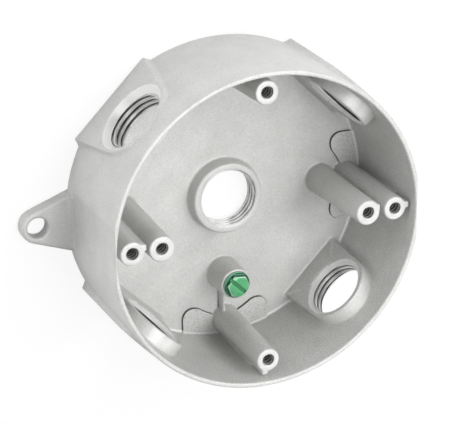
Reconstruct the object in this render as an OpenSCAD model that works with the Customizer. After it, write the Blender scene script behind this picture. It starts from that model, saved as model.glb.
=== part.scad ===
// Round die-cast electrical outlet box with five threaded outlets and a green ground screw.
// Units are millimetres. The back face lies on z = 0 and the open rim faces +Z.

/* [Box shell] */
// overall height from the back face to the rim
body_h = 40.8; // [40:0.1:46]
// outer radius of the shell at the back
back_r = 53.0; // [52.8:0.1:53.6]
// outer radius of the shell at the rim
rim_r = 51.85; // [51.6:0.05:52.1]
// width of the flat lip of the rim
lip_w = 1.6; // [1.4:0.05:2]
// inner radius of the shell at the floor
floor_r = 49.7; // [49.4:0.1:49.9]
// thickness of the floor
floor_t = 2.4; // [2.2:0.1:3]
// small round on the rim and the back edge
edge_r = 0.4; // [0.2:0.05:0.5]

/* [Side outlets] */
// distance from the box axis to the flat outer face of each outlet
pad_s = 52.6; // [52.3:0.1:52.9]
// height of the outlet axis above the back face
outlet_z = 20.5; // [19.5:0.1:21.5]
// radius of the threaded wall of an outlet at the thread crests
outlet_r = 9.3; // [9.1:0.05:9.6]
// width of the lead-in chamfer on the outer face
lead_w = 2.4; // [1.8:0.1:2.6]
// depth of the lead-in chamfer
lead_d = 1.9; // [1.5:0.1:2.2]
// width of the small relief at the inner end of the thread
relief_w = 0.85; // [0.6:0.05:1]
// radius of the round front of the outer pad
pad_r = 13.1; // [12.6:0.1:13.6]
// half width of the outer pad at the back face
pad_foot = 16.8; // [15.5:0.1:17.2]
// growth of the outer pad from its flat face down to the shell
pad_draft = 0.7; // [0.5:0.1:1.2]
// distance from the box axis to the inner face at the floor
seat_s = 44.6; // [44:0.1:45.4]
// draft angle of the inner face in degrees
seat_draft = 1.2; // [0.5:0.1:2]
// radius of the round front of the inner seat
seat_r = 12.3; // [12:0.1:12.8]

/* [Back outlet] */
// wall of the collar at its face, outside the thread crests
collar_w = 2.75; // [2.4:0.05:3]
// height of the collar face above the back face
collar_z = 6.9; // [6:0.1:8]

/* [Screw posts] */
// diameter of the circle of the four cover-screw posts
cover_pcd = 88.9; // [88.4:0.1:89.2]
// distance between the two fixture-screw posts
fixture_span = 69.85; // [69.4:0.05:70.2]
// recess of the post faces below the rim
post_drop = 3.0; // [2:0.1:5]
// radius of a cover post at its face
cover_post_r = 3.85; // [3.7:0.05:4.1]
// radius of a fixture post at its face
fixture_post_r = 4.1; // [3.9:0.05:4.3]
// growth of the post radius down to its foot
post_taper = 0.9; // [0.6:0.05:1]
// radius of the tapped holes at the thread crests
tap_r = 1.8; // [1.7:0.05:1.9]
// depth of the tapped holes
tap_depth = 20; // [12:0.5:28]
// thickness of the straight fins on the posts
fin_w = 2.5; // [1.8:0.1:2.7]
// reach of the fins beyond the post faces
fin_out = 1.15; // [0.6:0.05:1.3]
// height of the raised floor pads beside the cover posts
floor_pad_h = 0.8; // [0.5:0.1:1]
// half width of a raised floor pad
floor_pad_w = 15.35; // [14.5:0.05:16]

/* [Ground screw] */
// sideways position of the ground screw
ground_x = -0.5; // [-1:0.1:1]
// distance of the ground screw from the box axis
ground_y = 27.6; // [26.5:0.1:28.5]
// height of the boss face above the back face
boss_z = 13.8; // [13:0.1:15]
// radius of the boss face
boss_r = 5.25; // [5:0.05:5.6]
// thickness of the rib from the boss to the lower post
rib_w = 1.15; // [0.9:0.05:1.4]
// height of that rib above the floor
rib_h = 3.9; // [3:0.1:5]
// radius of the screw shank over its thread
shank_r = 2.41; // [2.3:0.01:2.5]
// running clearance between the shank and its hole
shank_gap = 0.04; // [0.01:0.01:0.1]
// length of the shank below the head
shank_l = 9.5; // [7:0.1:10]
// radius of the round washer face under the head
washer_r = 4.65; // [4.4:0.05:4.8]
// thickness of the washer face
washer_t = 0.6; // [0.4:0.1:0.8]
// width of the hexagon across its flats
head_af = 7.0; // [6.6:0.05:7.4]
// height of the head with its washer face
head_h = 2.4; // [2:0.1:2.8]
// width of the driver slot
slot_w = 1.1; // [0.9:0.05:1.3]
// depth of the driver slot
slot_d = 1.2; // [0.8:0.1:1.4]
// direction of the driver slot in degrees
slot_a = -45; // [-60:1:60]
// direction of one corner of the hexagon in degrees
hex_a = -8; // [-30:1:30]
// free height between the head and the boss face
seat_gap = 0.04; // [0.02:0.01:0.1]

/* [Mounting lugs] */
// distance from the box axis to the lug hole
lug_x = 63.5; // [63:0.1:64.5]
// offset of the lug's centre line from the box axis
lug_y = -0.55; // [-1:0.05:0]
// thickness of the lug
lug_t = 4.5; // [4:0.1:5]
// radius of the lug hole
lug_hole_r = 3.3; // [3:0.05:3.5]
// radius of the lug tip
lug_tip_r = 5.35; // [5.2:0.05:5.8]
// half width of the lug where it meets the shell
lug_root = 9.25; // [9:0.05:10]
// half width of the flat strip on the shell above the lug
strip_w = 10; // [9:0.1:11]

/* [Hidden] */
$fa = 3;
$fs = 0.35;
post_face_z = body_h - post_drop;
rim_in_r = rim_r - lip_w;
wall_a = atan((back_r - rim_r) / body_h);
collar_r = outlet_r + collar_w;
post_c = cover_pcd / 2;
post_f = fixture_span / 2;
seat_face_s = seat_s + (outlet_z - floor_t) * tan(seat_draft);
strip_x = sqrt(back_r * back_r - strip_w * strip_w);
far = 90;
cast_col = [0.80, 0.80, 0.78];
green_col = [0.30, 0.60, 0.42];

// half outline of the drafted shell, turned about the box axis
module shell_solid() {
    e = edge_r;
    rotate_extrude($fn = 180)
        polygon([
            [0, 0],
            [back_r - e, 0],
            [back_r - e * 0.3, e * 0.3],
            [back_r - e * 0.03, e],
            [rim_r, body_h - e],
            [rim_r - e * 0.3, body_h - e * 0.3],
            [rim_r - e, body_h],
            [rim_in_r + e, body_h],
            [rim_in_r + e * 0.3, body_h - e * 0.3],
            [rim_in_r, body_h - e],
            [floor_r, floor_t + 0.7],
            [floor_r - 0.25, floor_t + 0.2],
            [floor_r - 0.8, floor_t],
            [0, floor_t]
        ]);
}

// places a child with its own z axis pointing outward along direction a
module radial(a, s) {
    rotate([0, 0, a])
        translate([s, 0, 0])
            rotate([90, 0, 90])
                children();
}

// flat outer pad of one outlet, round at the front, wider and drafted toward the shell
module outer_pad(a) {
    base_s = 49.2;
    depth = pad_s - base_s;
    lean = atan((pad_foot - pad_r + 0.1) / outlet_z);
    draft = atan(pad_draft * cos(lean) / depth);
    difference() {
        radial(a, base_s)
            linear_extrude(depth)
                polygon([
                    [-pad_foot - 2, 0],
                    [pad_foot + 2, 0],
                    [pad_r + 2, outlet_z + 0.6],
                    [-pad_r - 2, outlet_z + 0.6]
                ]);
        for (m = [0, 1])
            radial(a, base_s)
                mirror([m, 0, 0])
                    translate([pad_foot + pad_draft, 0, 0])
                        rotate([0, 0, lean])
                            rotate([0, -draft, 0])
                                translate([0, -20, -10])
                                    cube([20, 60, 40]);
    }
    radial(a, base_s)
        translate([0, outlet_z, 0])
            cylinder(h = depth, r1 = pad_r + pad_draft, r2 = pad_r, $fn = 120);
}

// raised inner seat of one outlet, standing on the floor against the wall
module inner_seat(a) {
    back_s = 49.4;
    front_s = seat_s - 0.6;
    difference() {
        union() {
            radial(a, front_s)
                translate([0, outlet_z, 0])
                    cylinder(h = back_s - front_s, r1 = seat_r - 0.65, r2 = seat_r + 0.25, $fn = 120);
            radial(a, front_s)
                linear_extrude(back_s - front_s)
                    polygon([
                        [-seat_r - 0.2, floor_t - 1],
                        [seat_r + 0.2, floor_t - 1],
                        [seat_r - 0.45, outlet_z + 0.4],
                        [-seat_r + 0.45, outlet_z + 0.4]
                    ]);
        }
        rotate([0, 0, a])
            translate([seat_s, 0, floor_t])
                rotate([0, seat_draft, 0])
                    translate([-20, -20, -10])
                        cube([20, 40, 60]);
    }
}

// bore of one outlet with its outer lead-in and a small inner chamfer
module outlet_bore(a) {
    inner_s = seat_s - 6;
    radial(a, inner_s)
        translate([0, outlet_z, 0])
            cylinder(h = pad_s + 3 - inner_s, r = outlet_r, $fn = 120);
    radial(a, pad_s - lead_d)
        translate([0, outlet_z, 0])
            cylinder(h = lead_d * 2, r1 = outlet_r + 0.7, r2 = outlet_r - 0.7 + lead_w * 2, $fn = 120);
    radial(a, inner_s)
        translate([0, outlet_z, 0])
            cylinder(h = seat_face_s + 0.45 - inner_s, r = outlet_r + relief_w, $fn = 120);
}

// one tapered screw post with a flared foot and softened face edge
module post(x, y, r) {
    translate([x, y, 0])
        rotate_extrude($fn = 64)
            polygon([
                [0, floor_t - 1],
                [r + post_taper + 0.45, floor_t - 1],
                [r + post_taper + 0.45, floor_t],
                [r + post_taper + 0.12, floor_t + 0.25],
                [r + post_taper, floor_t + 0.8],
                [r + 0.04, post_face_z - 0.35],
                [r - 0.12, post_face_z - 0.1],
                [r - 0.35, post_face_z],
                [0, post_face_z]
            ]);
}

// tapped hole of one post with its small countersink
module post_bore(x, y) {
    translate([x, y, post_face_z - tap_depth])
        cylinder(h = tap_depth + 1, r = tap_r, $fn = 48);
    translate([x, y, post_face_z - 0.55])
        cylinder(h = 1.1, r1 = tap_r - 0.1, r2 = tap_r + 1, $fn = 48);
}

// straight fins that run down the posts
module post_fins() {
    z0 = floor_t - 0.6;
    h = post_face_z - 0.02 - z0;
    translate([-post_c, 1.2 - fin_w / 2, z0])
        cube([cover_post_r + fin_out + 0.6, fin_w, h]);
    translate([post_f, 1.2 - fin_w / 2, z0])
        cube([fixture_post_r + 0.15, fin_w, h]);
    translate([post_c, 0.65 - fin_w / 2, z0])
        cube([cover_post_r + fin_out, fin_w, h]);
    translate([-1.05 - fin_w / 2, -post_c - cover_post_r - fin_out, z0])
        cube([fin_w, cover_post_r + fin_out, h]);
}

// shallow raised floor pad with two round lobes beside a cover post
module floor_pad(a) {
    w = floor_pad_w;
    half = [
        [0, 1.3], [4.2, 2.1], [w - 7.4, 4.1], [w - 6, 5.1], [w - 4.7, 5.5], [w - 3.4, 5.6],
        [w - 2.1, 5.3], [w - 1, 4.5], [w - 0.3, 3.35], [w, 2.05], [w, -3.9], [0, -6]
    ];
    left = [for (i = [len(half) - 2:-1:1]) [-half[i][0], half[i][1]]];
    rotate([0, 0, a])
        translate([0, -post_c, floor_t - 0.5])
            linear_extrude(floor_pad_h + 0.5)
                polygon(concat(half, left));
}

// threaded collar of the back outlet
module collar() {
    r = collar_r;
    rotate_extrude($fn = 120)
        polygon([
            [5, floor_t - 1],
            [r + 0.95, floor_t - 1],
            [r + 0.95, floor_t],
            [r + 0.6, floor_t + 0.2],
            [r + 0.4, floor_t + 0.65],
            [r + 0.05, collar_z - 0.4],
            [r - 0.35, collar_z],
            [5, collar_z]
        ]);
}

// bore of the back outlet
module back_bore() {
    translate([0, 0, -1])
        cylinder(h = collar_z + 2, r = outlet_r, $fn = 120);
    translate([0, 0, -1])
        cylinder(h = 2, r1 = outlet_r + 2, r2 = outlet_r, $fn = 120);
    translate([0, 0, collar_z - 0.45])
        cylinder(h = 1, r = outlet_r + relief_w, $fn = 120);
}

// boss of the ground screw and the thin rib that ties it to the lower post
module ground_boss() {
    r = boss_r;
    translate([ground_x, -ground_y, 0])
        rotate_extrude($fn = 72)
            polygon([
                [0, floor_t - 1],
                [r + 0.8, floor_t - 1],
                [r + 0.8, floor_t],
                [r + 0.5, floor_t + 0.25],
                [r + 0.35, floor_t + 0.7],
                [r + 0.04, boss_z - 0.35],
                [r - 0.3, boss_z],
                [0, boss_z]
            ]);
    translate([ground_x - 1.3 - rib_w / 2, -post_c + 2.5, floor_t - 0.6])
        cube([rib_w, post_c - 2.5 - ground_y - 2.5, rib_h + 0.6]);
}

// hole of the ground screw
module ground_bore() {
    translate([ground_x, -ground_y, boss_z - shank_l - 1.6])
        cylinder(h = shank_l + 3, r = shank_r + shank_gap, $fn = 60);
}

// places a child at the right lug, or mirrored at the left one
module lug_side(side) {
    mirror([side > 0 ? 0 : 1, 0, 0])
        translate([0, lug_y, 0])
            children();
}

// one mounting lug, flush with the back face
module lug(side) {
    x0 = 49.6;
    w_tip = lug_tip_r - 0.27;
    slope = (lug_root - w_tip) / (lug_x + 1.5 - 52.5);
    lug_side(side) {
        linear_extrude(lug_t)
            polygon([
                [x0, -lug_root - slope * 2.9],
                [lug_x + 1.5, -w_tip],
                [lug_x + 1.5, w_tip],
                [x0, lug_root + slope * 2.9]
            ]);
        translate([lug_x, 0, 0])
            cylinder(h = lug_t, r = lug_tip_r, $fn = 96);
    }
}

// through hole of one lug
module lug_bore(side) {
    lug_side(side)
        translate([lug_x, 0, -1])
            cylinder(h = lug_t + 2, r = lug_hole_r, $fn = 64);
}

// flat strip that clears the screw driver above one lug
module strip_cut(side) {
    rotate([0, 0, side > 0 ? 0 : 180])
        translate([strip_x, -20, 0])
            rotate([0, -wall_a, 0])
                translate([0, 0, lug_t - 3])
                    cube([20, 40, far]);
}

// the whole casting
module box_casting() {
    c = post_c;
    f = post_f;
    color(cast_col)
        difference() {
            union() {
                difference() {
                    shell_solid();
                    for (a = [45:90:315])
                        rotate([0, 0, a])
                            translate([pad_s, -30, -1])
                                cube([20, 60, far]);
                    strip_cut(1);
                    strip_cut(-1);
                }
                for (a = [45:90:315]) {
                    outer_pad(a);
                    inner_seat(a);
                }
                for (a = [0:90:270])
                    floor_pad(a);
                collar();
                ground_boss();
                post(c, 0, cover_post_r);
                post(-c, 0, cover_post_r);
                post(0, c, cover_post_r);
                post(0, -c, cover_post_r);
                post(f, 0, fixture_post_r);
                post(-f, 0, fixture_post_r);
                post_fins();
                lug(1);
                lug(-1);
            }
            for (a = [45:90:315])
                outlet_bore(a);
            back_bore();
            post_bore(c, 0);
            post_bore(-c, 0);
            post_bore(0, c);
            post_bore(0, -c);
            post_bore(f, 0);
            post_bore(-f, 0);
            ground_bore();
            lug_bore(1);
            lug_bore(-1);
        }
}

// slotted hexagon-head screw with a washer face
module ground_screw() {
    hr = head_af / 2 / cos(30);
    z0 = boss_z + seat_gap;
    translate([ground_x, -ground_y, 0])
        color(green_col)
            difference() {
                union() {
                    intersection() {
                        translate([0, 0, z0])
                            rotate([0, 0, hex_a])
                                cylinder(h = head_h, r = hr, $fn = 6);
                        translate([0, 0, z0])
                            rotate_extrude($fn = 72)
                                polygon([
                                    [0, 0],
                                    [hr + 0.1, 0],
                                    [hr + 0.1, head_h - 0.6],
                                    [head_af / 2 - 0.2, head_h],
                                    [0, head_h]
                                ]);
                    }
                    translate([0, 0, z0])
                        rotate_extrude($fn = 96)
                            polygon([
                                [0, 0],
                                [washer_r - 0.1, 0],
                                [washer_r, 0.1],
                                [washer_r, washer_t - 0.25],
                                [washer_r - 0.25, washer_t],
                                [0, washer_t]
                            ]);
                    translate([0, 0, z0 - shank_l])
                        cylinder(h = shank_l + 0.3, r = shank_r, $fn = 60);
                }
                translate([0, 0, z0 + head_h - slot_d])
                    rotate([0, 0, slot_a])
                        translate([-10, -slot_w / 2, 0])
                            cube([20, slot_w, slot_d + 1]);
            }
}

box_casting();
ground_screw();
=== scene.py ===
"""Round die-cast outlet box with a green ground screw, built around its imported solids."""
import math

import bpy
import numpy as np
from bpy.props import FloatProperty, FloatVectorProperty, IntProperty, PointerProperty
from mathutils import Matrix, Vector


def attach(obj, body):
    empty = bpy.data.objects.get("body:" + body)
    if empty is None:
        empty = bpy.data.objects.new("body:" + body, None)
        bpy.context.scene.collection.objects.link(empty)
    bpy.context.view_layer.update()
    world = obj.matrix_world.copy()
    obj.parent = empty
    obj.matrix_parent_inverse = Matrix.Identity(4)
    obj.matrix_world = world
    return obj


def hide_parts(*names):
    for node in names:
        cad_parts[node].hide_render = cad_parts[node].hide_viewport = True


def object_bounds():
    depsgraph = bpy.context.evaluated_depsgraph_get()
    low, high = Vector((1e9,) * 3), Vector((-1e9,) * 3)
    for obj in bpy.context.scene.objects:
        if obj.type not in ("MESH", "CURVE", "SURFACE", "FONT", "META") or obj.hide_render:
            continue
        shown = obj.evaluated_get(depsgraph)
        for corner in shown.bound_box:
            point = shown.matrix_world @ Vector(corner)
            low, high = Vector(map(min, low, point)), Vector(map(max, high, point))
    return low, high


bl_info = {
    "name": "Round outlet box",
    "version": (1, 0, 0),
    "blender": (4, 5, 0),
    "location": "3D View > Sidebar > Outlet box",
    "description": "Dresses the packed outlet box: cast skin, cut threads, green screw and studio",
    "category": "Object",
}

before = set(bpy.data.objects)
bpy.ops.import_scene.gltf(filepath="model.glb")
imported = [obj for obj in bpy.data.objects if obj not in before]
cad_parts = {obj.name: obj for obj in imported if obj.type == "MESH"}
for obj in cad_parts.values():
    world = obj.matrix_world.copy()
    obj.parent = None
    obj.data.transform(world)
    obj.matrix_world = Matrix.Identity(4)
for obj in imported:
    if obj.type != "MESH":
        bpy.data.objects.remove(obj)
CAD_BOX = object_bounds()
MM = 0.001

# camera fitted to the posts and the rim, in metres, and its lens in millimetres
CAMERA_PLACE = (-0.19704, 0.19408, 0.47063)
CAMERA_RIGHT = (0.91840, -0.01219, 0.39547)
CAMERA_UP = (0.15563, 0.93008, -0.33275)
CAMERA_AHEAD = (0.36376, -0.36715, -0.85608)
SENSOR, LENS = 36.0, 131.2

# each lamp's place in metres, its width and its power
LAMPS = {
    "front_lamp": ((0.0, 0.0, 0.90), 0.64, 4.85),
    "high_right_lamp": ((0.269, 0.269, 0.816), 0.45, 2.4),
    "upper_right_lamp": ((0.51, 0.51, 0.537), 0.45, 2.6),
    "lower_right_lamp": ((0.51, -0.51, 0.537), 0.45, 1.7),
    "left_lamp": ((-0.871, 0.0, 0.2246), 0.45, 1.5),
    "upper_left_lamp": ((-0.616, 0.616, 0.2265), 0.45, 1.65),
}
WORLD_LIGHT = 0.05
OWN_WHITE = 0.85  # share of the floor's own white where the camera sees it

# painted highlight: a light line on the floor at the foot of the wall; its radius and width, its
# height and width, in metres
WALL_FOOT_HIGHLIGHT = ((0.04905, 0.00028), (0.0028, 0.0007))
# painted shade and light by height: the skin is darker at the floor and grows lighter up to this
# height
FLOOR_SHADE_TOP = 0.04  # height in metres up to which the skin grows lighter
SKIN_GAIN = 1.06  # tone of the skin at that height

OUTLET_ANGLES = (45, 135, 225, 315)  # side outlets, from +X toward +Y
PAD_ANGLES = (0, 90, 180, 270)  # raised floor pads, from the bottom one round
SIDES = (-1, 1)  # left and right lug
SEAT_LEAN = math.tan(math.radians(1.2))  # lean of the inner seats, outward per height
WALL_ROUND = 1.1  # round between the floor and the wall, in millimetres like the rest here
ROOT = 1.2  # height inside the floor from which posts, collar and boss grow
FOOT = 2.35  # height of their feet, a hair below the floor's face
CUTTER = 6.0  # thickness of the cutters of the flats
SCREW_VOXEL, SCREW_TRIANGLES = 0.07, 26000


def length(name, value, note):
    """Property for a size kept in metres and written here in millimetres."""
    return FloatProperty(name=name, description=note, default=value * MM, precision=5,
                         unit="LENGTH")


def fraction(name, value, note, top=1.0):
    """Property for a fraction from 0 to top."""
    return FloatProperty(name=name, description=note, default=value, min=0.0, max=top,
                         subtype="FACTOR")


def direction(name, degrees, note):
    """Property for a direction kept in radians and written here in degrees."""
    return FloatProperty(name=name, description=note, default=math.radians(degrees),
                         subtype="ANGLE")


def colour(name, value, note):
    """Property for a linear colour."""
    return FloatVectorProperty(name=name, description=note, default=value, size=3, min=0.0,
                               max=1.0, subtype="COLOR")


class OUTLETBOX_shell_sizes(bpy.types.PropertyGroup):
    """Sizes of the cast shell, its lugs and its outlets"""
    height: length("Height", 40.8, "From the back face to the rim")
    back_r: length("Back radius", 53.0, "Outside of the shell at the back")
    rim_r: length("Rim radius", 51.85, "Outside of the shell at the rim")
    lip: length("Lip", 1.6, "Width of the flat lip of the rim")
    floor_r: length("Floor radius", 49.7, "Inside of the shell at the floor")
    floor_t: length("Floor", 2.4, "Thickness of the floor")
    edge: length("Edge round", 0.4, "Round of the rim and of the back edge")
    pad_s: length("Outlet face", 52.6, "From the box axis to the outer face of an outlet")
    outlet_z: length("Outlet height", 20.5, "Outlet axis above the back face")
    outlet_r: length("Outlet radius", 9.3, "Outlet at the thread crests")
    thread_d: length("Thread depth", 1.25, "Depth of the pipe thread")
    thread_p: length("Thread pitch", 1.814, "Pitch of the pipe thread")
    first_s: length("First groove", 50.2, "Outermost thread groove of a side outlet")
    first_z: length("First back groove", 6.05, "Front thread groove of the back outlet")
    lead_w: length("Lead-in width", 2.65, "Width of the outer lead-in")
    lead_d: length("Lead-in depth", 1.9, "Depth of the outer lead-in")
    pad_r: length("Pad radius", 13.1, "Round front of the outer pad")
    pad_foot: length("Pad foot", 16.8, "Half width of the outer pad at the back")
    pad_round: length("Pad round", 0.45, "Round of the edge of the outer pad")
    seat_s: length("Seat face", 44.6, "From the box axis to the inner face of an outlet")
    seat_r: length("Seat radius", 12.2, "Round front of the inner seat")
    seat_round: length("Seat round", 0.4, "Round of the edge of the inner seat")
    lug_x: length("Lug hole", 63.5, "From the box axis to a lug hole")
    lug_y: length("Lug offset", -0.55, "Lug centre line below the box axis")
    lug_t: length("Lug thickness", 4.5, "Thickness of a lug")
    lug_tip: length("Lug tip", 5.35, "Radius of a lug tip")
    lug_root: length("Lug root", 9.25, "Half width of a lug at the shell")
    lug_hole: length("Lug hole radius", 3.3, "Radius of a lug hole")


class OUTLETBOX_inside_sizes(bpy.types.PropertyGroup):
    """Sizes of the posts, the collar, the boss and the floor pads"""
    post_c: length("Cover post", 44.45, "From the box axis to a cover post")
    post_f: length("Fixture post", 34.925, "From the box axis to a fixture post")
    post_top: length("Post face", 37.8, "Post faces above the back face")
    cover_r: length("Cover post radius", 3.85, "Cover post at its face")
    fixture_r: length("Fixture post radius", 4.1, "Fixture post at its face")
    taper: length("Post taper", 0.9, "Growth of a post down to its foot")
    tap_r: length("Tapped radius", 1.8, "Post hole at the thread crests")
    tap_depth: length("Tapped depth", 20.0, "Depth of a post hole")
    tap_d: length("Tap depth", 0.4, "Depth of the thread of a post hole")
    tap_p: length("Tap pitch", 1.588, "Distance between the visible threads of a post hole")
    fin_w: length("Fin", 2.1, "Thickness of the fins on the posts")
    collar_r: length("Collar radius", 11.95, "Collar of the back outlet at its face")
    collar_z: length("Collar face", 7.2, "Collar face above the back face")
    boss_r: length("Boss radius", 5.25, "Ground boss at its face")
    boss_z: length("Boss face", 13.8, "Ground boss face above the back face")
    ground_x: length("Ground x", -0.5, "Ground screw sideways")
    ground_y: length("Ground y", -27.6, "Ground screw from the box axis")
    rib_w: length("Rib", 1.0, "Thickness of the rib of the boss")
    rib_h: length("Rib height", 3.9, "Rib above the floor")
    pad_h: length("Floor pad", 0.8, "Height of a raised floor pad")
    pad_w: length("Floor pad width", 15.35, "Half width of a raised floor pad")


class OUTLETBOX_screw_sizes(bpy.types.PropertyGroup):
    """Sizes of the ground screw"""
    washer_r: length("Washer radius", 4.65, "Round washer face under the head")
    washer_t: length("Washer", 0.6, "Thickness of the washer face")
    across: length("Across flats", 7.0, "Width of the hexagon across its flats")
    head: length("Head height", 2.4, "Height of the head with its washer face")
    slot_w: length("Slot width", 1.1, "Width of the driver slot")
    slot_d: length("Slot depth", 1.2, "Depth of the driver slot")
    shank_r: length("Shank radius", 2.41, "Shank over its thread")
    shank: length("Shank", 9.5, "Shank below the head")
    pitch: length("Pitch", 0.794, "Pitch of the machine threads")
    seat_gap: length("Seat gap", 0.04, "Between the head and the boss face")
    slot_a: direction("Slot direction", -45, "Direction of the driver slot")
    hex_a: direction("Corner direction", -8, "Direction of one corner")


class OUTLETBOX_finish(bpy.types.PropertyGroup):
    """Colours, skin and mesh fineness"""
    skin: colour("Skin", (0.61, 0.61, 0.597), "Powder skin of the casting")
    skin_dark: colour("Skin shade", (0.525, 0.525, 0.512), "Dark grains of the skin")
    skin_light: colour("Skin light", (0.675, 0.675, 0.662), "Light grains of the skin")
    speck: colour("Specks", (0.28, 0.28, 0.27), "Dark specks, most of them on the floor pads")
    grain: length("Grain", 0.45, "Size of the grains of the skin")
    rough: fraction("Roughness", 0.4, "Roughness of the skin")
    metal: fraction("Metal", 0.13, "Metal look of the skin")
    # painted shade: darker skin down at the floor
    fade: fraction("Fade", 0.15, "Darker tone of the skin down at the floor", 0.5)
    cut: colour("Cut metal", (0.80, 0.80, 0.79), "Machined faces and threads")
    cut_metal: fraction("Cut gloss", 0.28, "Metal look of machined faces")
    cut_rough: fraction("Cut roughness", 0.38, "Roughness of machined faces")
    # colour of the painted shade in thread grooves, post holes and along the floor pads' edges
    hollow_shade: colour("Hollows", (0.12, 0.12, 0.115), "Dark metal in thread grooves and creases")
    screw: colour("Screw", (0.125, 0.48, 0.215), "Green dye of the ground screw")
    # dark dye grains, and also the colour of the painted shade on the screw
    dark_dye_and_shade: colour("Screw shade", (0.03, 0.145, 0.075), "Green dye in its hollows")
    # colour of the painted highlight on the screw's edges
    screw_edge_highlight: colour("Screw edge", (0.55, 0.80, 0.64), "Rubbed edge of the screw's head")
    voxel: length("Fineness", 0.3, "Cell of the casting's rounding pass")
    triangles: IntProperty(name="Triangles", description="Triangles kept on the casting's skin",
                           default=110000, min=20000, max=180000)


def in_mm(group):
    """All sizes of a property group as a plain table, in millimetres where they are lengths."""
    table = {}
    for key, prop in group.bl_rna.properties.items():
        if prop.type == "FLOAT" and not prop.is_array:
            value = getattr(group, key)
            table[key] = value / MM if prop.unit == "LENGTH" else value
    return table


def link(obj):
    """Puts an object into the scene's own collection and returns it."""
    bpy.context.scene.collection.objects.link(obj)
    return obj


def closed_form(name, rows, middle=None):
    """Closed mesh of rows of points [v, u, xyz] in millimetres: u closes on itself, each cell is
    one quad, and a fan to the mean point, or to (x, y) middle, closes the first and last row."""
    nv, nu = rows.shape[:2]
    index = np.arange(nv * nu).reshape(nv, nu)
    ahead = np.roll(index, -1, axis=1)
    quads = np.stack([index[:-1], ahead[:-1], ahead[1:], index[1:]], -1).reshape(-1, 4)
    fans = np.concatenate([np.stack([ahead[0], index[0], np.full(nu, nv * nu)], -1),
                           np.stack([index[-1], ahead[-1], np.full(nu, nv * nu + 1)], -1)])
    caps = rows[[0, -1]].mean(1)
    if middle is not None:
        caps[:, :2] = middle
    verts = np.concatenate([rows.reshape(-1, 3), caps])
    tris = verts[np.concatenate([quads[:, [0, 1, 2]], quads[:, [0, 2, 3]], fans])]
    volume = np.einsum("ij,ij->i", tris[:, 0], np.cross(tris[:, 1], tris[:, 2])).sum()
    if volume < 0:
        quads, fans = quads[:, ::-1], fans[:, ::-1]
    mesh = bpy.data.meshes.new(name)
    mesh.from_pydata((verts * MM).tolist(), [], quads.tolist() + fans.tolist())
    return link(bpy.data.objects.new(name, mesh))


def applied(obj):
    """Applies an object's modifiers to its mesh, leaves none on it and returns the object."""
    bpy.context.view_layer.update()
    depsgraph = bpy.context.evaluated_depsgraph_get()
    mesh = bpy.data.meshes.new_from_object(obj.evaluated_get(depsgraph))
    old = obj.data
    obj.modifiers.clear()
    obj.data = mesh
    bpy.data.meshes.remove(old)
    return obj


def carved(obj, tools, operation):
    """Unites an object with closed tools, or cuts them out of it, and removes the tools."""
    for tool in tools:
        step = obj.modifiers.new(tool.name, "BOOLEAN")
        step.operation = operation
        step.solver = "MANIFOLD"
        step.object = tool
    applied(obj)
    if len(obj.data.polygons) < 100:
        raise RuntimeError("a cut left nothing of " + obj.name)
    for tool in tools:
        mesh = tool.data
        bpy.data.objects.remove(tool)
        bpy.data.meshes.remove(mesh)
    return obj


def softened(obj, voxel, passes, triangles):
    """Rounds every edge and hollow as a casting has them: cells of one size over the whole form,
    each point moved toward the mean of its neighbours a few times, then thinned."""
    cells = obj.modifiers.new("cells", "REMESH")
    cells.mode = "VOXEL"
    cells.voxel_size = voxel * MM
    even = obj.modifiers.new("even", "SMOOTH")
    even.factor = 0.5
    even.iterations = passes
    applied(obj)
    thin = obj.modifiers.new("thin", "DECIMATE")
    thin.ratio = min(1.0, triangles / (2.0 * len(obj.data.polygons)))
    return applied(obj)


def kept_inside(obj):
    """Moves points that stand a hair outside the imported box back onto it."""
    points = np.empty(len(obj.data.vertices) * 3, np.float32)
    obj.data.vertices.foreach_get("co", points)
    low, high = (np.array(c, np.float32) for c in CAD_BOX)
    inside = np.clip(points.reshape(-1, 3), low, high)
    obj.data.vertices.foreach_set("co", inside.ravel())
    obj.data.update()
    return obj


def smooth_shaded(obj, angle):
    """Shades a mesh smooth and keeps edges sharper than an angle."""
    mesh = obj.data
    mesh.polygons.foreach_set("use_smooth", np.ones(len(mesh.polygons), bool))
    mesh.set_sharp_from_angle(angle=math.radians(angle))
    mesh.update()
    return obj


def turned(name, profile, x=0.0, y=0.0, around=96):
    """Revolve: a profile of (radius, height) carried round a vertical axis at (x, y)."""
    r, z = np.array(profile, float).T
    angle = np.linspace(0, 2 * math.pi, around, endpoint=False)
    rows = np.stack([x + r[:, None] * np.cos(angle), y + r[:, None] * np.sin(angle),
                     np.broadcast_to(z[:, None], (len(z), around))], -1)
    return closed_form(name, rows)


def arc(x, z, q, inward, downward, level_last, count=7):
    """Points of a quarter round of radius q in the corner of the lines x and z, with its centre
    at (x - inward q, z - downward q), from the upright line to the level one or back."""
    turn = np.linspace(0, math.pi / 2, count)
    across, up = np.cos(turn), np.sin(turn)
    if not level_last:
        across, up = up, across
    return np.stack([x - inward * q + inward * q * across,
                     z - downward * q + downward * q * up], -1).tolist()


def radial(t, h, s, angle):
    """Points of an outlet's own frame, t sideways, h up the box and s outward, in the box frame."""
    a = math.radians(angle)
    return np.stack([s * math.cos(a) - t * math.sin(a), s * math.sin(a) + t * math.cos(a),
                     h + 0 * s], -1)


def outlet_row(points, inward, inset, s, angle):
    """One row of an outlet's form: its outline less an inset, at s outward."""
    p = points - inward * inset[:, None]
    return radial(p[:, 0], p[:, 1], s, angle)


def seat_middle(v):
    """Distance from the box axis to the leaning seat face at the height of the outlet's axis."""
    return v["seat_s"] + (v["outlet_z"] - v["floor_t"]) * SEAT_LEAN


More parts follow.
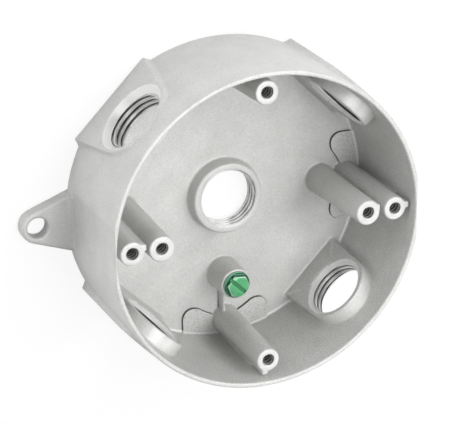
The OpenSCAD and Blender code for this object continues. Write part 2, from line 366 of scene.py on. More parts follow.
def arch(r, half_foot, height, low):
    """Arch outline about (0, height): a round top of radius r, its two tangents down to
    (half_foot, low) and a straight foot. Gives points, and the move per unit of inset that keeps
    the tangents parallel and the foot level."""
    rise = height - low
    lean = math.acos(r / math.hypot(half_foot, rise)) - math.atan2(rise, half_foot)
    turn = np.linspace(lean, math.pi - lean, 65)
    top = np.stack([r * np.cos(turn), height + r * np.sin(turn)], -1)
    top_in = np.stack([np.cos(turn), np.sin(turn)], -1)
    share = np.linspace(0, 1, 28)[:-1, None] ** 1.6
    side = (1 - share) * np.array([half_foot, low]) + share * top[0]
    side_in = (1 - share) * np.array([1 / math.cos(lean), 0.0]) + share * top_in[0]
    flip = np.array([-1.0, 1.0])
    base = np.linspace(-1, 1, 20)[1:-1, None]
    points = np.concatenate([side, top, (side * flip)[::-1],
                             base * [half_foot, 0] + [0, low]])
    inward = np.concatenate([side_in, top_in, (side_in * flip)[::-1],
                             base * [1 / math.cos(lean), 0]])
    return points, inward


def rounded_bar(name, a, b, round_r, levels, x, y):
    """Upright bar: the outline (sgn cos u (a - q) + q cos u, sgn sin u (b - q) + q sin u), with
    q the corner round, drawn at each level (height, inset) with a, b and q less the inset."""
    u = np.linspace(0, 2 * math.pi, 48, endpoint=False) + math.pi / 48
    h, d = np.array(levels, float).T
    q = np.maximum(round_r - d, 0.05)[:, None]
    px = np.sign(np.cos(u)) * (a - d[:, None] - q) + q * np.cos(u)
    py = np.sign(np.sin(u)) * (b - d[:, None] - q) + q * np.sin(u)
    rows = np.stack([x + px, y + py, np.broadcast_to(h[:, None], px.shape)], -1)
    return closed_form(name, rows)


def bar_top(low, high, round_r, count=5):
    """Levels (height, inset) of a bar whose top edge is a quarter round."""
    turn = np.linspace(0, math.pi / 2, count)
    top = np.stack([high - round_r + round_r * np.sin(turn), round_r * (1 - np.cos(turn))], -1)
    return [[low, 0.0]] + top.tolist()


def slab(name, corners, thick):
    """Flat cutter: four corners of one face, and the same corners moved by the vector thick."""
    first = np.array(corners, float)
    return closed_form(name, np.stack([first, first + np.array(thick, float)]))


def thread_tool(name, crest, depth, pitch, low, high, first, around, per_turn, place):
    """Tap for a thread: radius crest + depth w, where w is a blunt V wave of
    (height - first) / pitch - angle / turn, deepest at height first on the low side of the bore.
    place sets the points (t, h, s) into the box frame."""
    u = np.linspace(0, 2 * math.pi, around, endpoint=False)
    count = int(math.ceil((high - low) / pitch * per_turn)) + 1
    run = np.linspace(low, high, count)[:, None]
    phase = ((run - first) / pitch - u / (2 * math.pi) + 0.25) % 1.0
    wave = np.clip(2.2 * (1 - np.abs(2 * phase - 1)) - 1.0, 0.0, 1.0)
    r = crest + depth * wave
    return closed_form(name, place(r * np.cos(u), r * np.sin(u), run + 0 * r))


def wall_draft(v):
    """Growth of the outer wall's radius per height, from the rim down to the back."""
    return (v["back_r"] - v["rim_r"]) / v["height"]


def shell_form(v):
    """Shell: one profile revolved, up the drafted outer wall, over the rounded lip and down the
    inner wall into the rounded floor, less the flats of the outlets and above the lugs."""
    edge, height, floor = v["edge"], v["height"], v["floor_t"]
    profile = ([[0.0, 0.0]] + arc(v["back_r"], 0.0, edge, 1, -1, False)
               + arc(v["rim_r"], height, edge, 1, 1, True, 6)
               + arc(v["rim_r"] - v["lip"], height, edge, -1, 1, False, 6)
               + arc(v["floor_r"], floor, WALL_ROUND, 1, -1, True) + [[0.0, floor]])
    body = turned("shell", profile, around=360)
    wide, top, past = 12.0, 36.0, 1.0
    cuts = []
    for angle in OUTLET_ANGLES:
        t = np.array([-wide, wide, wide, -wide])
        h = np.array([-past, -past, top, top])
        face = radial(t, h, np.full(4, v["pad_s"]), angle)
        out = radial(np.zeros(1), np.zeros(1), np.full(1, CUTTER), angle)[0]
        cuts.append(slab("flat_%d" % angle, face, out))
    draft, half_flat, long, low = wall_draft(v), 10.0, 14, 2.0
    strip = math.sqrt(v["back_r"] ** 2 - half_flat ** 2)
    for side in SIDES:
        x0 = side * (strip - draft * low)
        x1 = side * (strip - draft * (height + 1))
        face = [[x0, -long, low], [x0, long, low], [x1, long, height + 1], [x1, -long, height + 1]]
        cuts.append(slab("strip_%d" % (side > 0), face, [side * CUTTER, 0, 0]))
    return carved(body, cuts, "DIFFERENCE")


def pad_form(v, angle):
    """Outer pad: arch outline carried from inside the shell, f = 0 on its surface
    s = sqrt(R(h)^2 - t^2), out to the flat face, with draft and a flare where it leaves the
    shell and a quarter round at the face."""
    points, inward = arch(v["pad_r"], v["pad_foot"], v["outlet_z"], 0.0)
    least, draft, flare, full, sunk = 0.35, 0.2, 0.3, 2.4, 1.3
    share = 0.6
    shell = np.sqrt((v["back_r"] - wall_draft(v) * points[:, 1]) ** 2 - points[:, 0] ** 2)
    depth = np.maximum(v["pad_s"] - shell, least)
    edge = np.minimum(v["pad_round"], share * depth)
    start = v["pad_s"] - depth
    rows = []
    for f in (-1.0, 0.0, 0.12, 0.25, 0.4, 0.6, 0.8, 1.0):
        g = max(f, 0.0)
        d = -draft * (1 - g) * depth - flare * (1 - g) ** 4 * np.minimum(1, depth / full)
        s = start + g * (v["pad_s"] - edge - start) - (sunk if f < 0 else 0.0)
        rows.append(outlet_row(points, inward, d, s, angle))
    for turn in np.linspace(0, math.pi / 2, 7)[1:]:
        rows.append(outlet_row(points, inward, edge * (1 - math.cos(turn)),
                               v["pad_s"] - edge + edge * math.sin(turn), angle))
    return closed_form("pad_%d" % angle, np.stack(rows))


def seat_form(v, angle):
    """Inner seat: arch outline carried from inside the wall to the leaning face, with draft, a
    flare where it stands on the floor and a quarter round at the face."""
    less, more, buried = 0.45, 0.25, 1.0
    points, inward = arch(v["seat_r"] - less, v["seat_r"] + more, v["outlet_z"],
                          v["floor_t"] - buried)
    grow = (v["rim_r"] - v["lip"] - v["floor_r"]) / (v["height"] - v["floor_t"])
    above = np.maximum(points[:, 1] - v["floor_t"], 0.0)
    wall = np.sqrt((v["floor_r"] + grow * above) ** 2 - points[:, 0] ** 2)
    flare, flare_height, draft, sunk = 0.7, 0.45, 0.35, 1.2
    spread = flare * np.exp(-above / flare_height)
    face = v["seat_s"] + above * SEAT_LEAN - spread
    edge = v["seat_round"]
    rows = []
    for f in (-1.0, 0.0, 0.08, 0.16, 0.3, 0.5, 0.75, 1.0):
        g = max(f, 0.0)
        s = wall + (sunk if f < 0 else 0.0) - g * (wall - face - edge)
        rows.append(outlet_row(points, inward, -draft * (1 - g) - spread, s, angle))
    for turn in np.linspace(0, math.pi / 2, 9)[1:]:
        rows.append(outlet_row(points, inward, edge * (1 - math.cos(turn)) - spread,
                               face + edge - edge * math.sin(turn), angle))
    return closed_form("seat_%d" % angle, np.stack(rows))


def lug_form(v, side):
    """Lug: outline of a round tip and its two tangents to the shell, stacked upward, with a
    quarter round at the top edge."""
    tip, root, x = v["lug_tip"], v["lug_root"], v["lug_x"]
    shell, sunk_x, settle, edge = 52.5, 49.6, 0.97, 0.65
    lean = math.asin((root - tip) / (x - shell) * settle)
    turn = np.linspace(-math.pi / 2 + lean, math.pi / 2 - lean, 49)
    rim_in = np.stack([np.cos(turn), np.sin(turn)], -1)
    rim = np.stack([x + tip * np.cos(turn), tip * np.sin(turn)], -1)
    end = np.array([sunk_x, rim[-1, 1] + (rim[-1, 0] - sunk_x) * math.tan(lean)])
    share = np.linspace(0, 1, 14)[1:, None]
    upper = rim[-1] + share * (end - rim[-1])
    points = np.concatenate([(upper * [1.0, -1.0])[::-1], rim, upper])
    inward = np.concatenate([np.broadcast_to(rim_in[0], upper.shape), rim_in,
                             np.broadcast_to(rim_in[-1], upper.shape)])
    rows = []
    for h, d in bar_top(0.0, v["lug_t"], edge, 7):
        p = points - inward * d
        rows.append(np.stack([side * p[:, 0], v["lug_y"] + p[:, 1], np.full(len(p), h)], -1))
    return closed_form("lug_%d" % (side > 0), np.stack(rows))


def lug_fillet(v, side):
    """Fillet over a lug: a concave quarter round carried straight along the flat of the shell."""
    wall, top, q = 52.05, v["lug_t"] - 0.1, 1.7
    inside, below, half = wall - 1.5, top - 1.0, 8.6
    x, z = np.array([[inside, below], [wall + q, below]] + arc(wall, top, q, -1, -1, False, 9)
                    + [[inside, top + q]]).T
    rows = [np.stack([side * x, np.full(len(x), v["lug_y"] + y), z], -1)
            for y in np.linspace(-half, half, 9)]
    return closed_form("lug_fillet_%d" % (side > 0), np.stack(rows))


def column_form(name, r, top, taper, flare, edge, x=0.0, y=0.0, around=96):
    """Round column rooted in the floor: a profile revolved, with a concave foot, a tapered side
    and a rounded edge at its face."""
    base = r + taper
    profile = ([[0.0, ROOT], [base + flare, ROOT]] + arc(base, FOOT, flare, -1, -1, False)
               + arc(r, top, edge, 1, 1, True, 6) + [[0.0, top]])
    return turned(name, profile, x, y, around)


def post_places(v):
    """Name, place and face radius of each screw post."""
    c, f = v["post_c"], v["post_f"]
    return [("left", -c, 0, v["cover_r"]), ("right", c, 0, v["cover_r"]),
            ("top", 0, c, v["cover_r"]), ("bottom", 0, -c, v["cover_r"]),
            ("fixture_left", -f, 0, v["fixture_r"]), ("fixture_right", f, 0, v["fixture_r"])]


def fin_forms(v):
    """Small fins that run outward from four posts, and the rib from the boss to the wall."""
    low, top, fw = v["floor_t"] - 0.8, v["post_top"] - 0.03, v["fin_w"] / 2
    c, f = v["post_c"], v["post_f"]
    # name, half size in x and y, and place of each fin
    fins = [("fin_left", 2.3, fw, -c + 2.3, 0.3 + fw), ("fin_fixture", 2.1, fw, f + 2.1, 1.2),
            ("fin_right", 2.5, fw, c + 2.5, 0.65), ("fin_bottom", fw, 2.5, -1.05, -c - 2.5)]
    rib = rounded_bar("rib", v["rib_w"] / 2, 6.2, 0.4,
                      bar_top(low, v["floor_t"] + v["rib_h"], 0.45), v["ground_x"] - 1.3, -36.2)
    return [rib] + [rounded_bar(name, a, b, 0.2, bar_top(low, top, 0.2), x, y)
                    for name, a, b, x, y in fins]


def floor_pad_form(v, angle, levels):
    """Floor pad: a smooth closed outline with two lobes, stacked upward at levels of (height,
    inset). The outline is a closed cubic through its points, and the inset moves it along its
    normal."""
    w, pull, fan_out = v["pad_w"], 0.45, 2.5
    half = np.array([[0, 1.3], [4.2, 2.1], [w - 7.4, 4.1], [w - 6, 5.1], [w - 4.7, 5.5],
                     [w - 3.4, 5.6], [w - 2.1, 5.3], [w - 1, 4.5], [w - 0.3, 3.35], [w, 2.05],
                     [w, 0.2], [w, -2.2], [w, -4.6], [w - 1.2, -5.6], [0, -6]])
    knots = np.concatenate([half, (half * [-1, 1])[-2:0:-1]])
    before, after, later = (np.roll(knots, n, axis=0) for n in (1, -1, -2))
    u = np.linspace(0, 1, 8, endpoint=False)[None, :, None]
    a, b = knots[:, None], after[:, None]
    m0, m1 = (after - before)[:, None] * pull, (later - knots)[:, None] * pull
    curve = ((2 * u**3 - 3 * u**2 + 1) * a + (u**3 - 2 * u**2 + u) * m0
             + (3 * u**2 - 2 * u**3) * b + (u**3 - u**2) * m1).reshape(-1, 2)
    along = np.roll(curve, -1, axis=0) - np.roll(curve, 1, axis=0)
    along /= np.linalg.norm(along, axis=1, keepdims=True)
    normal = np.stack([-along[:, 1], along[:, 0]], -1)
    if (normal * (curve - curve.mean(0))).sum() < 0:
        normal = -normal
    c, s = math.cos(math.radians(angle)), math.sin(math.radians(angle))
    rows = []
    for h, d in levels:
        x, y = (curve - normal * d - [0, v["post_c"]]).T
        rows.append(np.stack([x * c - y * s, x * s + y * c, np.full(len(x), h)], -1))
    out = v["post_c"] + fan_out
    return closed_form("floor_pad_%d" % angle, np.stack(rows), (out * s, -out * c))


def outlet_bore(v, angle):
    """Plain bore of an outlet with its outer lead-in cone and its small inner chamfer."""
    r, out, inside = v["outlet_r"], v["pad_s"], seat_middle(v)
    wide, crest, lead = r + 1.9, r - 0.1, v["lead_w"]
    profile = np.array([[0.0, inside - 5], [wide, inside - 5], [wide, inside - 0.5],
                        [r + 1.15, inside + 0.1], [r + 0.8, inside + 0.45],
                        [crest, inside + 0.75], [crest, out - v["lead_d"] - 0.5],
                        [r + 0.7, out - v["lead_d"]], [r + lead, out],
                        [r + lead + 1.2, out + 0.8], [0.0, out + 0.8]])
    u = np.linspace(0, 2 * math.pi, 128, endpoint=False)
    radius = profile[:, :1]
    rows = radial(radius * np.cos(u), v["outlet_z"] + radius * np.sin(u),
                  profile[:, 1:] + 0 * u, angle)
    return closed_form("bore_%d" % angle, rows)


def bore_cuts(v, w):
    """Cutters for the five outlets, the post holes, the ground screw's hole and the lug holes."""
    r, top, cz, bz = v["outlet_r"], v["post_top"], v["collar_z"], v["boss_z"]
    cuts = [outlet_bore(v, angle) for angle in OUTLET_ANGLES]
    cuts.append(turned("back_bore", [[0.0, -1.0], [r + 2.0, -1.0], [r + 1.0, 0.0],
                                     [r - 0.1, 1.0], [r - 0.1, cz - 0.6], [r + 0.2, cz - 0.35],
                                     [r + 0.5, cz - 0.15], [r + 0.85, cz], [r + 0.85, cz + 1],
                                     [0.0, cz + 1]], around=128))
    core, mouth, end = v["tap_r"] - 0.05, v["tap_r"] + 0.3, top - v["tap_depth"]
    for name, x, y, _ in post_places(v):
        cuts.append(turned("hole_" + name, [[0.0, end - 0.8], [core, end], [core, top - 0.5],
                                            [mouth, top], [mouth, top + 1], [0.0, top + 1]],
                           x, y, 48))
    shank = w["shank_r"] + 0.06
    cuts.append(turned("ground_hole", [[0.0, 2.7], [shank, 3.4], [shank, bz + 1], [0.0, bz + 1]],
                       v["ground_x"], v["ground_y"], 48))
    lr, lt, q = v["lug_hole"], v["lug_t"], 0.5
    for side in SIDES:
        cuts.append(turned("lug_hole_%d" % (side > 0),
                           [[0.0, -1.0], [lr, -1.0]] + arc(lr, lt, q, -1, 1, True, 6)
                           + [[lr + q, lt + 1], [0.0, lt + 1]],
                           side * v["lug_x"], v["lug_y"], 64))
    return cuts


def thread_taps(v):
    """Taps for the pipe threads of the outlets and the machine threads of the post holes."""
    r, depth, pitch, top = v["outlet_r"], v["thread_d"], v["thread_p"], v["post_top"]
    taps = [thread_tool("tap_%d" % a, r, depth, pitch, seat_middle(v) - 1.0,
                        v["pad_s"] - v["lead_d"] + 0.5, v["first_s"], 96, 10,
                        lambda t, h, s, a=a: radial(t, v["outlet_z"] + h, s, a))
            for a in OUTLET_ANGLES]
    taps.append(thread_tool("tap_back", r, depth, pitch, -0.6, v["collar_z"] + 0.6, v["first_z"],
                            96, 10, lambda t, h, s: np.stack([t, h, s], -1)))
    taps += [thread_tool("tap_" + name, v["tap_r"], v["tap_d"], v["tap_p"], top - 11.0,
                         top + 0.5, top - 0.8, 24, 7,
                         lambda t, h, s, x=x, y=y: np.stack([t + x, h + y, s], -1))
             for name, x, y, _ in post_places(v)]
    return taps


def face_fields(mesh):
    """Middle points in millimetres and normals of all faces, each as rows x, y and z."""
    fields = []
    for field in ("center", "normal"):
        values = np.empty(len(mesh.polygons) * 3, np.float32)
        mesh.polygons.foreach_get(field, values)
        fields.append(values.reshape(-1, 3).T)
    return fields[0] / MM, fields[1]


def write_shares(mesh, **shares):
    """Writes each keyword's values as a named share per face."""
    for name, share in shares.items():
        layer = mesh.attributes.new(name, "FLOAT", "FACE")
        layer.data.foreach_set("value", share.astype(np.float32))


def mark_bores(v, place, normal, machined, shaded):
    """Marks the outlets: cut metal on bores and lead-ins, and painted shade in the thread grooves
    that grows with the distance beyond the thread's crest."""
    (x, y, z), (nx, ny, nz) = place, normal
    r, lead_low, seat = v["outlet_r"], v["pad_s"] - v["lead_d"], seat_middle(v)
    facing, shade_margin, blend = 0.97, 0.15, 0.6

    # share of painted shade, growing beyond the thread's crest
    def hollow_shade(far):
        return np.clip((far - r - shade_margin) / blend, 0.0, 1.0)

    for angle in OUTLET_ANGLES:
        c, s = math.cos(math.radians(angle)), math.sin(math.radians(angle))
        out, far = x * c + y * s, np.hypot(y * c - x * s, z - v["outlet_z"])
        upright = np.abs(nx * c + ny * s) < facing
        bore = (out > v["seat_s"] - 0.6) & (far < r + 1.5) & upright
        lead = (out > lead_low) & (far < r + v["lead_w"] + 0.1) & upright
        machined[bore | lead] = 1.0
        groove = bore & (out < lead_low - 0.05) & (out > seat + 0.85)
        shaded[groove] = hollow_shade(far[groove])
    far = np.hypot(x, y)
    bore = (z < v["collar_z"] - 0.3) & (far < r + 1.4) & (np.abs(nz) < facing)
    machined[bore] = 1.0
    groove = bore & (z < v["collar_z"] - 0.62)
    shaded[groove] = hollow_shade(far[groove])


def mark_posts(v, place, normal, machined, shaded):
    """Marks the posts: a light cut on their faces, bright crests, and painted shade in the holes
    that is darkest in the grooves.
    """
    x, y, z = place
    top, crest = v["post_top"], v["tap_r"]
    for _, px, py, _ in post_places(v):
        near = np.hypot(x - px, y - py)
        machined[(near < 5.0) & (z > top - 0.4) & (normal[2] > 0.8)] = 0.25
        hole = (near < crest + v["tap_d"] + 0.05) & (z < top - 0.45)
        shaded[hole] = np.clip((near[hole] - crest + 0.05) / 0.2, 0.05, 1.0)
        machined[hole & (near < crest + 0.1)] = 1.0


def mark_floor(v, place, normal, shaded):
    """Paints shade on the upright edge of the floor pads away from the posts, and returns the share
    of specks, which is full on the pads and 0.6 on the inner wall."""
    (x, y, z), (nx, ny, nz) = place, normal
    far = np.hypot(x, y)
    low, high = v["floor_t"] - 0.33, v["floor_t"] + v["pad_h"] - 0.02
    upright = (np.abs(nz) < 0.8) & (z > low) & (z < high) & (far > 36.0) & (far < 48.6)
    upright &= np.minimum(np.abs(x), np.abs(y)) < v["pad_w"] + 0.2
    for _, px, py, radius in post_places(v):
        upright &= np.hypot(x - px, y - py) > radius + 1.1
    # painted shade on the pads' upright edges
    shaded[upright] = 0.9
    inward = (nx * x + ny * y < -0.5 * far) & (far > 40.0) & (z > v["floor_t"] + 0.5)
    on_pad = (nz > 0.8) & (z > v["floor_t"] + 0.7 * v["pad_h"]) & (z < high + 0.1)
    return np.where(on_pad, 1.0, 0.6 * inward)


def mark_casting(mesh, v):
    """Writes three shares per face from its middle point and its normal: machined on cut
    surfaces, shaded where shade is painted into hollows, and speckled where the skin has dark
    specks."""
    place, normal = face_fields(mesh)
    machined, shaded = np.zeros(len(mesh.polygons)), np.zeros(len(mesh.polygons))
    mark_bores(v, place, normal, machined, shaded)
    mark_posts(v, place, normal, machined, shaded)
    speckled = mark_floor(v, place, normal, shaded)
    write_shares(mesh, machined=machined, shaded=shaded, speckled=speckled)


class OUTLETBOX_OT_casting(bpy.types.Operator):
    """Builds the casting in place of its solid: forms united, rounded and tapped"""
    bl_idname = "outletbox.casting"
    bl_label = "Casting"

    def execute(self, context):
        kit = context.scene.outletbox
        v = {**in_mm(kit.inside), **in_mm(kit.shell)}
        body = shell_form(v)
        body.name = body.data.name = "cast_box"
        adds = [form(v, angle) for form in (pad_form, seat_form) for angle in OUTLET_ANGLES]
        adds += [column_form("post_" + name, r, v["post_top"], taper=v["taper"], flare=0.6,
                             edge=0.25, x=x, y=y, around=72) for name, x, y, r in post_places(v)]
        adds += [form(v, side) for form in (lug_form, lug_fillet) for side in SIDES]
        adds.append(column_form("collar", v["collar_r"], v["collar_z"], taper=0.45, flare=0.5,
                                edge=0.5, around=144))
        adds.append(column_form("boss", v["boss_r"], v["boss_z"], taper=0.3, flare=0.5,
                                edge=0.45, x=v["ground_x"], y=v["ground_y"]))
        carved(body, adds + fin_forms(v), "UNION")
        carved(body, bore_cuts(v, in_mm(kit.screw)), "DIFFERENCE")
        softened(body, in_mm(kit.finish)["voxel"], 3, kit.finish.triangles)

        floor, seam_d, seam_w = v["floor_t"], 0.35, 0.3
        seam = [(floor - seam_d, -seam_w), (floor + 0.02, -seam_w)]
        raised = [(floor - 0.8, 0.0)] + bar_top(floor, floor + v["pad_h"], 0.15)
        for levels, operation in ((seam, "DIFFERENCE"), (raised, "UNION")):
            carved(body, [floor_pad_form(v, a, levels) for a in PAD_ANGLES], operation)
        carved(body, thread_taps(v), "DIFFERENCE")
        smooth_shaded(kept_inside(body), 38)
        mark_casting(body.data, v)
        body.data.materials.clear()
        body.data.materials.append(skin_material(kit.finish))
        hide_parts("box_casting")
        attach(body, "box")
        return {"FINISHED"}


def washer_form(name, w, x, y, z0):
    """Round washer face under the head, with its edges broken."""
    r, t = w["washer_r"], w["washer_t"]
    return turned(name, [[0.0, z0], [r - 0.15, z0], [r, z0 + 0.12], [r - 0.03, z0 + t - 0.25],
                         [r - 0.2, z0 + t - 0.05], [r - 0.5, z0 + t], [0.0, z0 + t + 0.05]],
                  x, y, 128)


def hexagon_form(w, x, y, z0):
    """Head: at each height the smooth least of six flats and a cone that breaks the corners."""
    u = np.linspace(0, 2 * math.pi, 180, endpoint=False)
    sides = w["hex_a"] + math.pi / 6 + np.arange(6) * math.pi / 3
    sharp, sharp_top, half, head = 60, 26.0, w["across"] / 2, w["head"]
    low, broken_h, broken, slope = 0.2, 0.8, 0.15, 1.35
    lobes = np.maximum(np.cos(u[:, None] - sides), 0.0) ** sharp
    flat = half / lobes.sum(1) ** (1 / float(sharp))
    h = np.concatenate([[low], np.linspace(head - broken_h, head, 14)])[:, None]
    cone = half - broken + (head - h) * slope + 0 * u
    r = (flat ** -sharp_top + cone ** -sharp_top) ** (-1 / sharp_top)
    rows = np.stack([x + r * np.cos(u), y + r * np.sin(u), z0 + h + 0 * u], -1)
    return closed_form("hexagon", rows)


def shank_form(w, x, y, z0):
    """Threaded shank: radius less the depth times |2 frac(h / pitch - a / turn) - 1|, less a
    lead at its end."""
    depth, lead, lead_h = 0.42, 0.5, 0.9
    run = np.linspace(-w["shank"], 0.3, 110)[:, None]
    a = np.linspace(0, 2 * math.pi, 36, endpoint=False)
    wave = np.abs(2 * ((run / w["pitch"] - a / (2 * math.pi)) % 1.0) - 1)
    end = np.clip((run + w["shank"]) / lead_h, 0.0, 1.0)
    r = w["shank_r"] - depth * wave - lead * (1 - end)
    return closed_form("shank", np.stack([x + r * np.cos(a), y + r * np.sin(a),
                                          z0 + run + 0 * r], -1))


def slot_cut(w, x, y, z0):
    """Cutter for the driver slot, from its floor up past the head."""
    long = 8.0
    across = np.array([-1, 1, 1, -1]) * (w["slot_w"] / 2)
    along = np.array([-1, -1, 1, 1]) * long
    c, s = math.cos(w["slot_a"]), math.sin(w["slot_a"])
    base = np.stack([x + along * c - across * s, y + along * s + across * c,
                     np.full(4, z0 + w["head"] - w["slot_d"])], -1)
    return slab("slot", base, [0, 0, w["slot_d"] + 2])


def mark_screw(mesh, z0, w):
    """Writes two shares per face of the screw from its height above z0 and its normal: shaded on
    whatever lies below the flat top of the head as painted shade, and a painted highlight on the
    head's edge and the washer's."""
    place, normal = face_fields(mesh)
    height, upward, head = place[2] - z0, normal[2], w["head"]
    shaded = np.clip((head - 0.25 - height) / 0.15, 0.0, 1.0)
    floor = (upward > 0.9) & (height > head - w["slot_d"] - 0.15)
    shaded[floor & (height < head - 0.3)] = 0.35
    # painted highlight on the head's top edge and the washer's edge
    sloping = (upward > 0.3) & (upward < 0.93)
    rim = sloping & (height > head - 0.55)
    brim = sloping & (height > w["washer_t"] - 0.3) & (height < w["washer_t"] + 0.1)
    write_shares(mesh, shaded=shaded, rubbed=1.0 * rim + 0.45 * brim)


class OUTLETBOX_OT_ground_screw(bpy.types.Operator):
    """Builds the slotted hexagon-head screw with its washer face and its threaded shank"""
    bl_idname = "outletbox.ground_screw"
    bl_label = "Ground screw"

    def execute(self, context):
        kit = context.scene.outletbox
        v, w = in_mm(kit.inside), in_mm(kit.screw)
        at = (v["ground_x"], v["ground_y"], v["boss_z"] + w["seat_gap"])
        body = washer_form("green_screw_piece", w, *at)
        carved(body, [hexagon_form(w, *at), shank_form(w, *at)], "UNION")
        carved(body, [slot_cut(w, *at)], "DIFFERENCE")
        smooth_shaded(softened(body, SCREW_VOXEL, 3, SCREW_TRIANGLES), 40)
        mark_screw(body.data, at[2], w)
        body.data.materials.clear()
        body.data.materials.append(screw_material(kit.finish))
        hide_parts("ground_screw")
        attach(body, "screw")
        return {"FINISHED"}


def node_of(tree, kind, *sockets, **values):
    """Adds a shader node. Values in order fill its first sockets, named ones set its fields or
    its named sockets, and a socket given as a value is linked."""
    node = tree.nodes.new("ShaderNode" + kind)
    for key in [key for key in values if hasattr(node, key)]:
        setattr(node, key, values.pop(key))
    for key, value in [*enumerate(sockets), *values.items()]:
        if isinstance(value, bpy.types.NodeSocket):
            tree.links.new(value, node.inputs[key])
        else:
            node.inputs[key].default_value = value
    return node


def math_of(tree, operation, *values):
    """Result of a math node."""
    return node_of(tree, "Math", *values, operation=operation).outputs[0]


def ranged(tree, value, low, high, to_low, to_high):
    """A value carried from the range low to high to another range."""
    return node_of(tree, "MapRange", value, low, high, to_low, to_high).outputs["Result"]


def mixed(tree, factor, a, b, kind="RGBA", blend="MIX"):
    """Mix of two colours or two values by a factor."""
    return node_of(tree, "Mix", data_type=kind, blend_type=blend, Factor=factor, A=a,
                   B=b).outputs["Result"]


def noise_of(tree, place, scale, detail, roughness=0.5):
    """Noise value on object coordinates."""
    return node_of(tree, "TexNoise", Vector=place, Scale=scale, Detail=detail,
                   Roughness=roughness).outputs["Fac"]


def share_of(tree, name):
    """A share written on the faces."""
    return node_of(tree, "Attribute", attribute_name=name).outputs["Fac"]


def ramp_of(tree, value, *stops):
    """Colour ramp through stops of (position, colour)."""
    node = node_of(tree, "ValToRGB", value)
    elements = node.color_ramp.elements
    for element, (position, tone) in zip(elements, (stops[0], stops[-1])):
        element.position, element.color = position, (*tone, 1)
    for position, tone in stops[1:-1]:
        elements.new(position).color = (*tone, 1)
    return node.outputs["Color"]


def new_material(name):
    """A material with its tree and its shader node."""
    mat = bpy.data.materials.new(name)
    mat.use_nodes = True
    return mat, mat.node_tree, mat.node_tree.nodes["Principled BSDF"]


def object_place(tree):
    """Object coordinates."""
    return node_of(tree, "TexCoord").outputs["Object"]


def skin_tone(tree, finish, place, grain, scale):
    """Tone of the bare skin: grains from dark to light, faint clouds, painted shade that darkens it
    down to the floor, dark specks by their share, and a painted highlight line at the foot of the
    wall."""
    axes = node_of(tree, "SeparateXYZ", place).outputs
    clouds = ranged(tree, noise_of(tree, place, scale * 0.06, 3.0), 0.35, 0.65, 0.96, 1.04)
    # painted shade and light by height: darker at the floor, lighter toward the rim
    fade = ranged(tree, axes["Z"], 0.0, FLOOR_SHADE_TOP, SKIN_GAIN - finish.fade, SKIN_GAIN)
    grains = ramp_of(tree, grain, (0.3, finish.skin_dark), (0.5, finish.skin),
                     (0.72, finish.skin_light))
    tone = mixed(tree, 1.0, grains, math_of(tree, "MULTIPLY", clouds, fade), blend="MULTIPLY")

    specks = ranged(tree, noise_of(tree, place, scale * 1.6, 1.0), 0.54, 0.68, 0.0, 1.0)
    amount = ranged(tree, share_of(tree, "speckled"), 0.0, 1.0, 0.1, 0.85)
    tone = mixed(tree, math_of(tree, "MULTIPLY", specks, amount), tone, (*finish.speck, 1))

    # painted highlight: a thin light ring in the cut colour at the foot of the wall
    flat = node_of(tree, "CombineXYZ", axes["X"], axes["Y"]).outputs[0]
    reach = node_of(tree, "VectorMath", flat, operation="LENGTH").outputs["Value"]
    (radius, wide), (height, tall) = WALL_FOOT_HIGHLIGHT
    beside = math_of(tree, "COMPARE", reach, radius, wide)
    beneath = math_of(tree, "COMPARE", axes["Z"], height, tall)
    foot_highlight = math_of(tree, "MULTIPLY", beside, beneath)
    return mixed(tree, math_of(tree, "MULTIPLY", foot_highlight, 0.6), tone, (*finish.cut, 1))


def skin_material(finish):
    """Matte powder skin over cast aluminium, with cut metal and painted shade by the shares on the
    faces, and a grain that shows in the gloss."""
    mat, tree, shade = new_material("cast_skin")
    place = object_place(tree)
    scale = 1.0 / max(finish.grain, 1e-5)
    grain = noise_of(tree, place, scale, 3.0, 0.6)
    machined, shaded = share_of(tree, "machined"), share_of(tree, "shaded")
    tone = skin_tone(tree, finish, place, grain, scale)
    tone = mixed(tree, machined, tone, (*finish.cut, 1))
    gloss = ranged(tree, grain, 0.0, 1.0, finish.rough - 0.08, finish.rough + 0.12)
    bump = node_of(tree, "Bump", Strength=0.25, Distance=0.00008, Height=grain)
    # painted shade: the skin darkened toward the shade colour by the shaded share
    for key, value in (
            ("Base Color", mixed(tree, shaded, tone, (*finish.hollow_shade, 1))),
            ("Metallic", ranged(tree, machined, 0.0, 1.0, finish.metal, finish.cut_metal)),
            ("Roughness", mixed(tree, machined, gloss, finish.cut_rough, kind="FLOAT")),
            ("Normal", bump.outputs["Normal"])):
        tree.links.new(value, shade.inputs[key])
    return mat


def screw_material(finish):
    """Green dyed steel: dye that varies softly, painted shade on the upright sides, in the slot and
    on the washer face, and a painted highlight on the edge of the head; satin gloss."""
    mat, tree, shade = new_material("green_dye")
    place = object_place(tree)
    dye = noise_of(tree, place, 1600.0, 4.0, 0.6)
    tone = ramp_of(tree, dye, (0.1, finish.dark_dye_and_shade), (0.5, finish.screw))
    # painted shade on the upright sides, in the slot and on the washer face
    tone = mixed(tree, share_of(tree, "shaded"), tone, (*finish.dark_dye_and_shade, 1))
    bump = node_of(tree, "Bump", Strength=0.15, Distance=0.00005, Height=dye)
    # painted highlight on the edges of the head and washer
    for key, value in (
            ("Base Color", mixed(tree, share_of(tree, "rubbed"), tone, (*finish.screw_edge_highlight, 1))),
            ("Roughness", ranged(tree, dye, 0.0, 1.0, 0.22, 0.42)),
            ("Normal", bump.outputs["Normal"])):
        tree.links.new(value, shade.inputs[key])
    shade.inputs["Metallic"].default_value = 0.55
    return mat


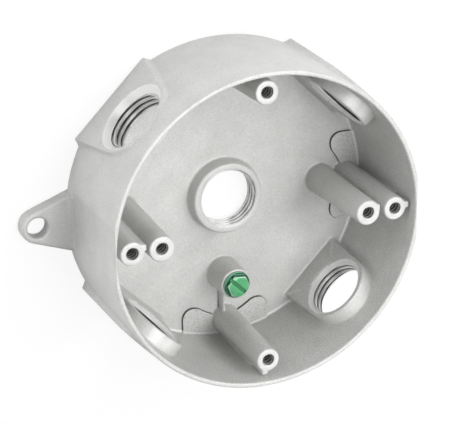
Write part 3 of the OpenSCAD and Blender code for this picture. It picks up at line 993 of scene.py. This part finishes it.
def floor_material():
    """Plain white floor: mostly its own white where the camera sees it, the rest lit, so the
    object's shadow stays as a soft tone."""
    mat, tree, shade = new_material("pale_floor")
    tree.nodes.remove(shade)
    lit = node_of(tree, "BsdfDiffuse", Color=(0.93, 0.93, 0.93, 1))
    white = node_of(tree, "Emission", Strength=1.0)
    seen = node_of(tree, "LightPath").outputs["Is Camera Ray"]
    mix = node_of(tree, "MixShader", math_of(tree, "MULTIPLY", seen, OWN_WHITE),
                  lit.outputs[0], white.outputs[0])
    tree.links.new(mix.outputs[0], tree.nodes["Material Output"].inputs["Surface"])
    return mat


def studio_world():
    """World that lights the box dimly and shows white to the camera."""
    world = bpy.data.worlds.new("studio")
    world.use_nodes = True
    tree = world.node_tree
    dim = tree.nodes["Background"]
    dim.inputs["Color"].default_value = (1, 1, 1, 1)
    dim.inputs["Strength"].default_value = WORLD_LIGHT
    white = node_of(tree, "Background", Color=(1, 1, 1, 1), Strength=1.0)
    rays = node_of(tree, "LightPath").outputs
    seen = math_of(tree, "MAXIMUM", rays["Is Camera Ray"], rays["Is Transmission Ray"])
    mix = node_of(tree, "MixShader", seen, dim.outputs[0], white.outputs[0])
    tree.links.new(mix.outputs[0], tree.nodes["World Output"].inputs["Surface"])
    return world


class OUTLETBOX_OT_stage(bpy.types.Operator):
    """Sets the camera, the lamps, the world and the plain pale floor"""
    bl_idname = "outletbox.stage"
    bl_label = "Stage"

    def execute(self, context):
        scene = context.scene
        data = bpy.data.cameras.new("camera")
        data.sensor_width, data.lens, data.clip_end = SENSOR, LENS, 10.0
        camera = link(bpy.data.objects.new("camera", data))
        axes = Matrix([CAMERA_RIGHT, CAMERA_UP, [-c for c in CAMERA_AHEAD]]).transposed()
        camera.matrix_world = Matrix.Translation(CAMERA_PLACE) @ axes.to_4x4()
        scene.camera = camera
        for name, (place, size, power) in LAMPS.items():
            lamp = bpy.data.lights.new(name, "AREA")
            lamp.shape, lamp.size, lamp.energy = "DISK", size, power
            obj = link(bpy.data.objects.new(name, lamp))
            obj.location = place
            obj.rotation_euler = (-Vector(place)).to_track_quat("-Z", "Y").to_euler()
        scene.world = studio_world()

        half, top, thick = 3000.0, -0.05, 5
        edge = np.array([[-1, -1], [1, -1], [1, 1], [-1, 1]]) * half
        floor = closed_form("floor", np.stack([
            np.concatenate([edge, np.full((4, 1), z)], 1) for z in (top - thick, top)]))
        floor.data.materials.append(floor_material())
        scene.view_settings.view_transform = "Standard"
        return {"FINISHED"}


class OUTLETBOX_kit(bpy.types.PropertyGroup):
    """All sizes and colours of the outlet box"""
    shell: PointerProperty(type=OUTLETBOX_shell_sizes, name="Shell")
    inside: PointerProperty(type=OUTLETBOX_inside_sizes, name="Inside")
    screw: PointerProperty(type=OUTLETBOX_screw_sizes, name="Screw")
    finish: PointerProperty(type=OUTLETBOX_finish, name="Finish")


class OUTLETBOX_PT_panel(bpy.types.Panel):
    """Panel with the steps and their values"""
    bl_idname = "OUTLETBOX_PT_panel"
    bl_label = "Outlet box"
    bl_space_type = "VIEW_3D"
    bl_region_type = "UI"
    bl_category = "Outlet box"

    def draw(self, context):
        kit = context.scene.outletbox
        for group in (kit.shell, kit.inside, kit.screw, kit.finish):
            box = self.layout.box()
            box.label(text=group.bl_rna.description)
            for key in group.bl_rna.properties.keys():
                if key not in ("rna_type", "name"):
                    box.prop(group, key)
        for step in STEPS:
            self.layout.operator(step.bl_idname)


STEPS = (OUTLETBOX_OT_casting, OUTLETBOX_OT_ground_screw, OUTLETBOX_OT_stage)
CLASSES = (OUTLETBOX_shell_sizes, OUTLETBOX_inside_sizes, OUTLETBOX_screw_sizes,
           OUTLETBOX_finish, OUTLETBOX_kit, *STEPS, OUTLETBOX_PT_panel)


def register():
    for cls in CLASSES:
        bpy.utils.register_class(cls)
    bpy.types.Scene.outletbox = PointerProperty(type=OUTLETBOX_kit)


def unregister():
    del bpy.types.Scene.outletbox
    for cls in reversed(CLASSES):
        bpy.utils.unregister_class(cls)


def main():
    register()
    bpy.ops.outletbox.casting()
    bpy.ops.outletbox.ground_screw()
    bpy.ops.outletbox.stage()


if __name__ == "__main__":
    main()
